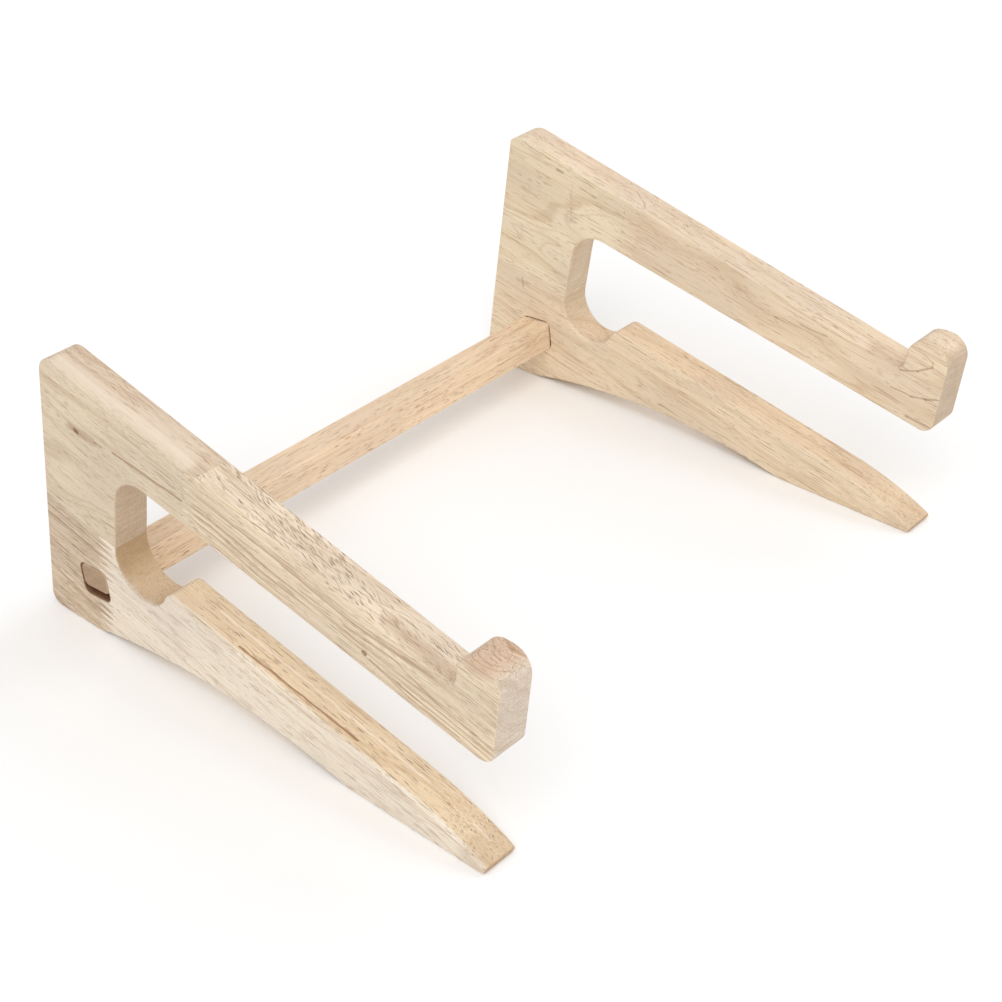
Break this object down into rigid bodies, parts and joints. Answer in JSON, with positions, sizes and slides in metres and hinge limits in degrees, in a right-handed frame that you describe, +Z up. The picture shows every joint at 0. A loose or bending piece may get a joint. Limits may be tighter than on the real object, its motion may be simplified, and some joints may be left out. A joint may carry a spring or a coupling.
{
  "type": "laptop stand",
  "caption": "Wooden laptop stand: profiled side brackets with sloped rails and front lips, standing on edge, joined by a crossbar with loose through tenons.",
  "frame": {"origin": "on the floor, under the middle of the stand's bounding box", "axes": "+X across the stand to the right, +Y to the back (the lips are at the front, -Y), +Z up"},
  "size_m": [0.318, 0.2882, 0.1405],
  "materials": {
    "crossbar": "sanded bare rubberwood",
    "left_spine_stave": "sanded bare rubberwood",
    "left_lip_stave": "sanded bare rubberwood",
    "left_heel_stave": "sanded bare rubberwood",
    "left_leg_stave": "sanded bare rubberwood",
    "right_spine_stave": "sanded bare rubberwood",
    "right_lip_stave": "sanded bare rubberwood",
    "right_heel_stave": "sanded bare rubberwood",
    "right_leg_stave": "sanded bare rubberwood"
  },
  "bodies": {
    "crossbar": {"crossbar": "crossbar"},
    "left_bracket": {"left_spine_stave": "left_spine_stave", "left_lip_stave": "left_lip_stave", "left_heel_stave": "left_heel_stave", "left_leg_stave": "left_leg_stave"},
    "right_bracket": {"right_spine_stave": "right_spine_stave", "right_lip_stave": "right_lip_stave", "right_heel_stave": "right_heel_stave", "right_leg_stave": "right_leg_stave"}
  },
  "joints": [
    {"name": "left_bracket_pull_off", "type": "slide", "parent": "crossbar", "child": "left_bracket", "axis": [-1, 0, 0], "range_m": [0, 0.03]},
    {"name": "right_bracket_pull_off", "type": "slide", "parent": "crossbar", "child": "right_bracket", "axis": [1, 0, 0], "range_m": [0, 0.03]}
  ]
}
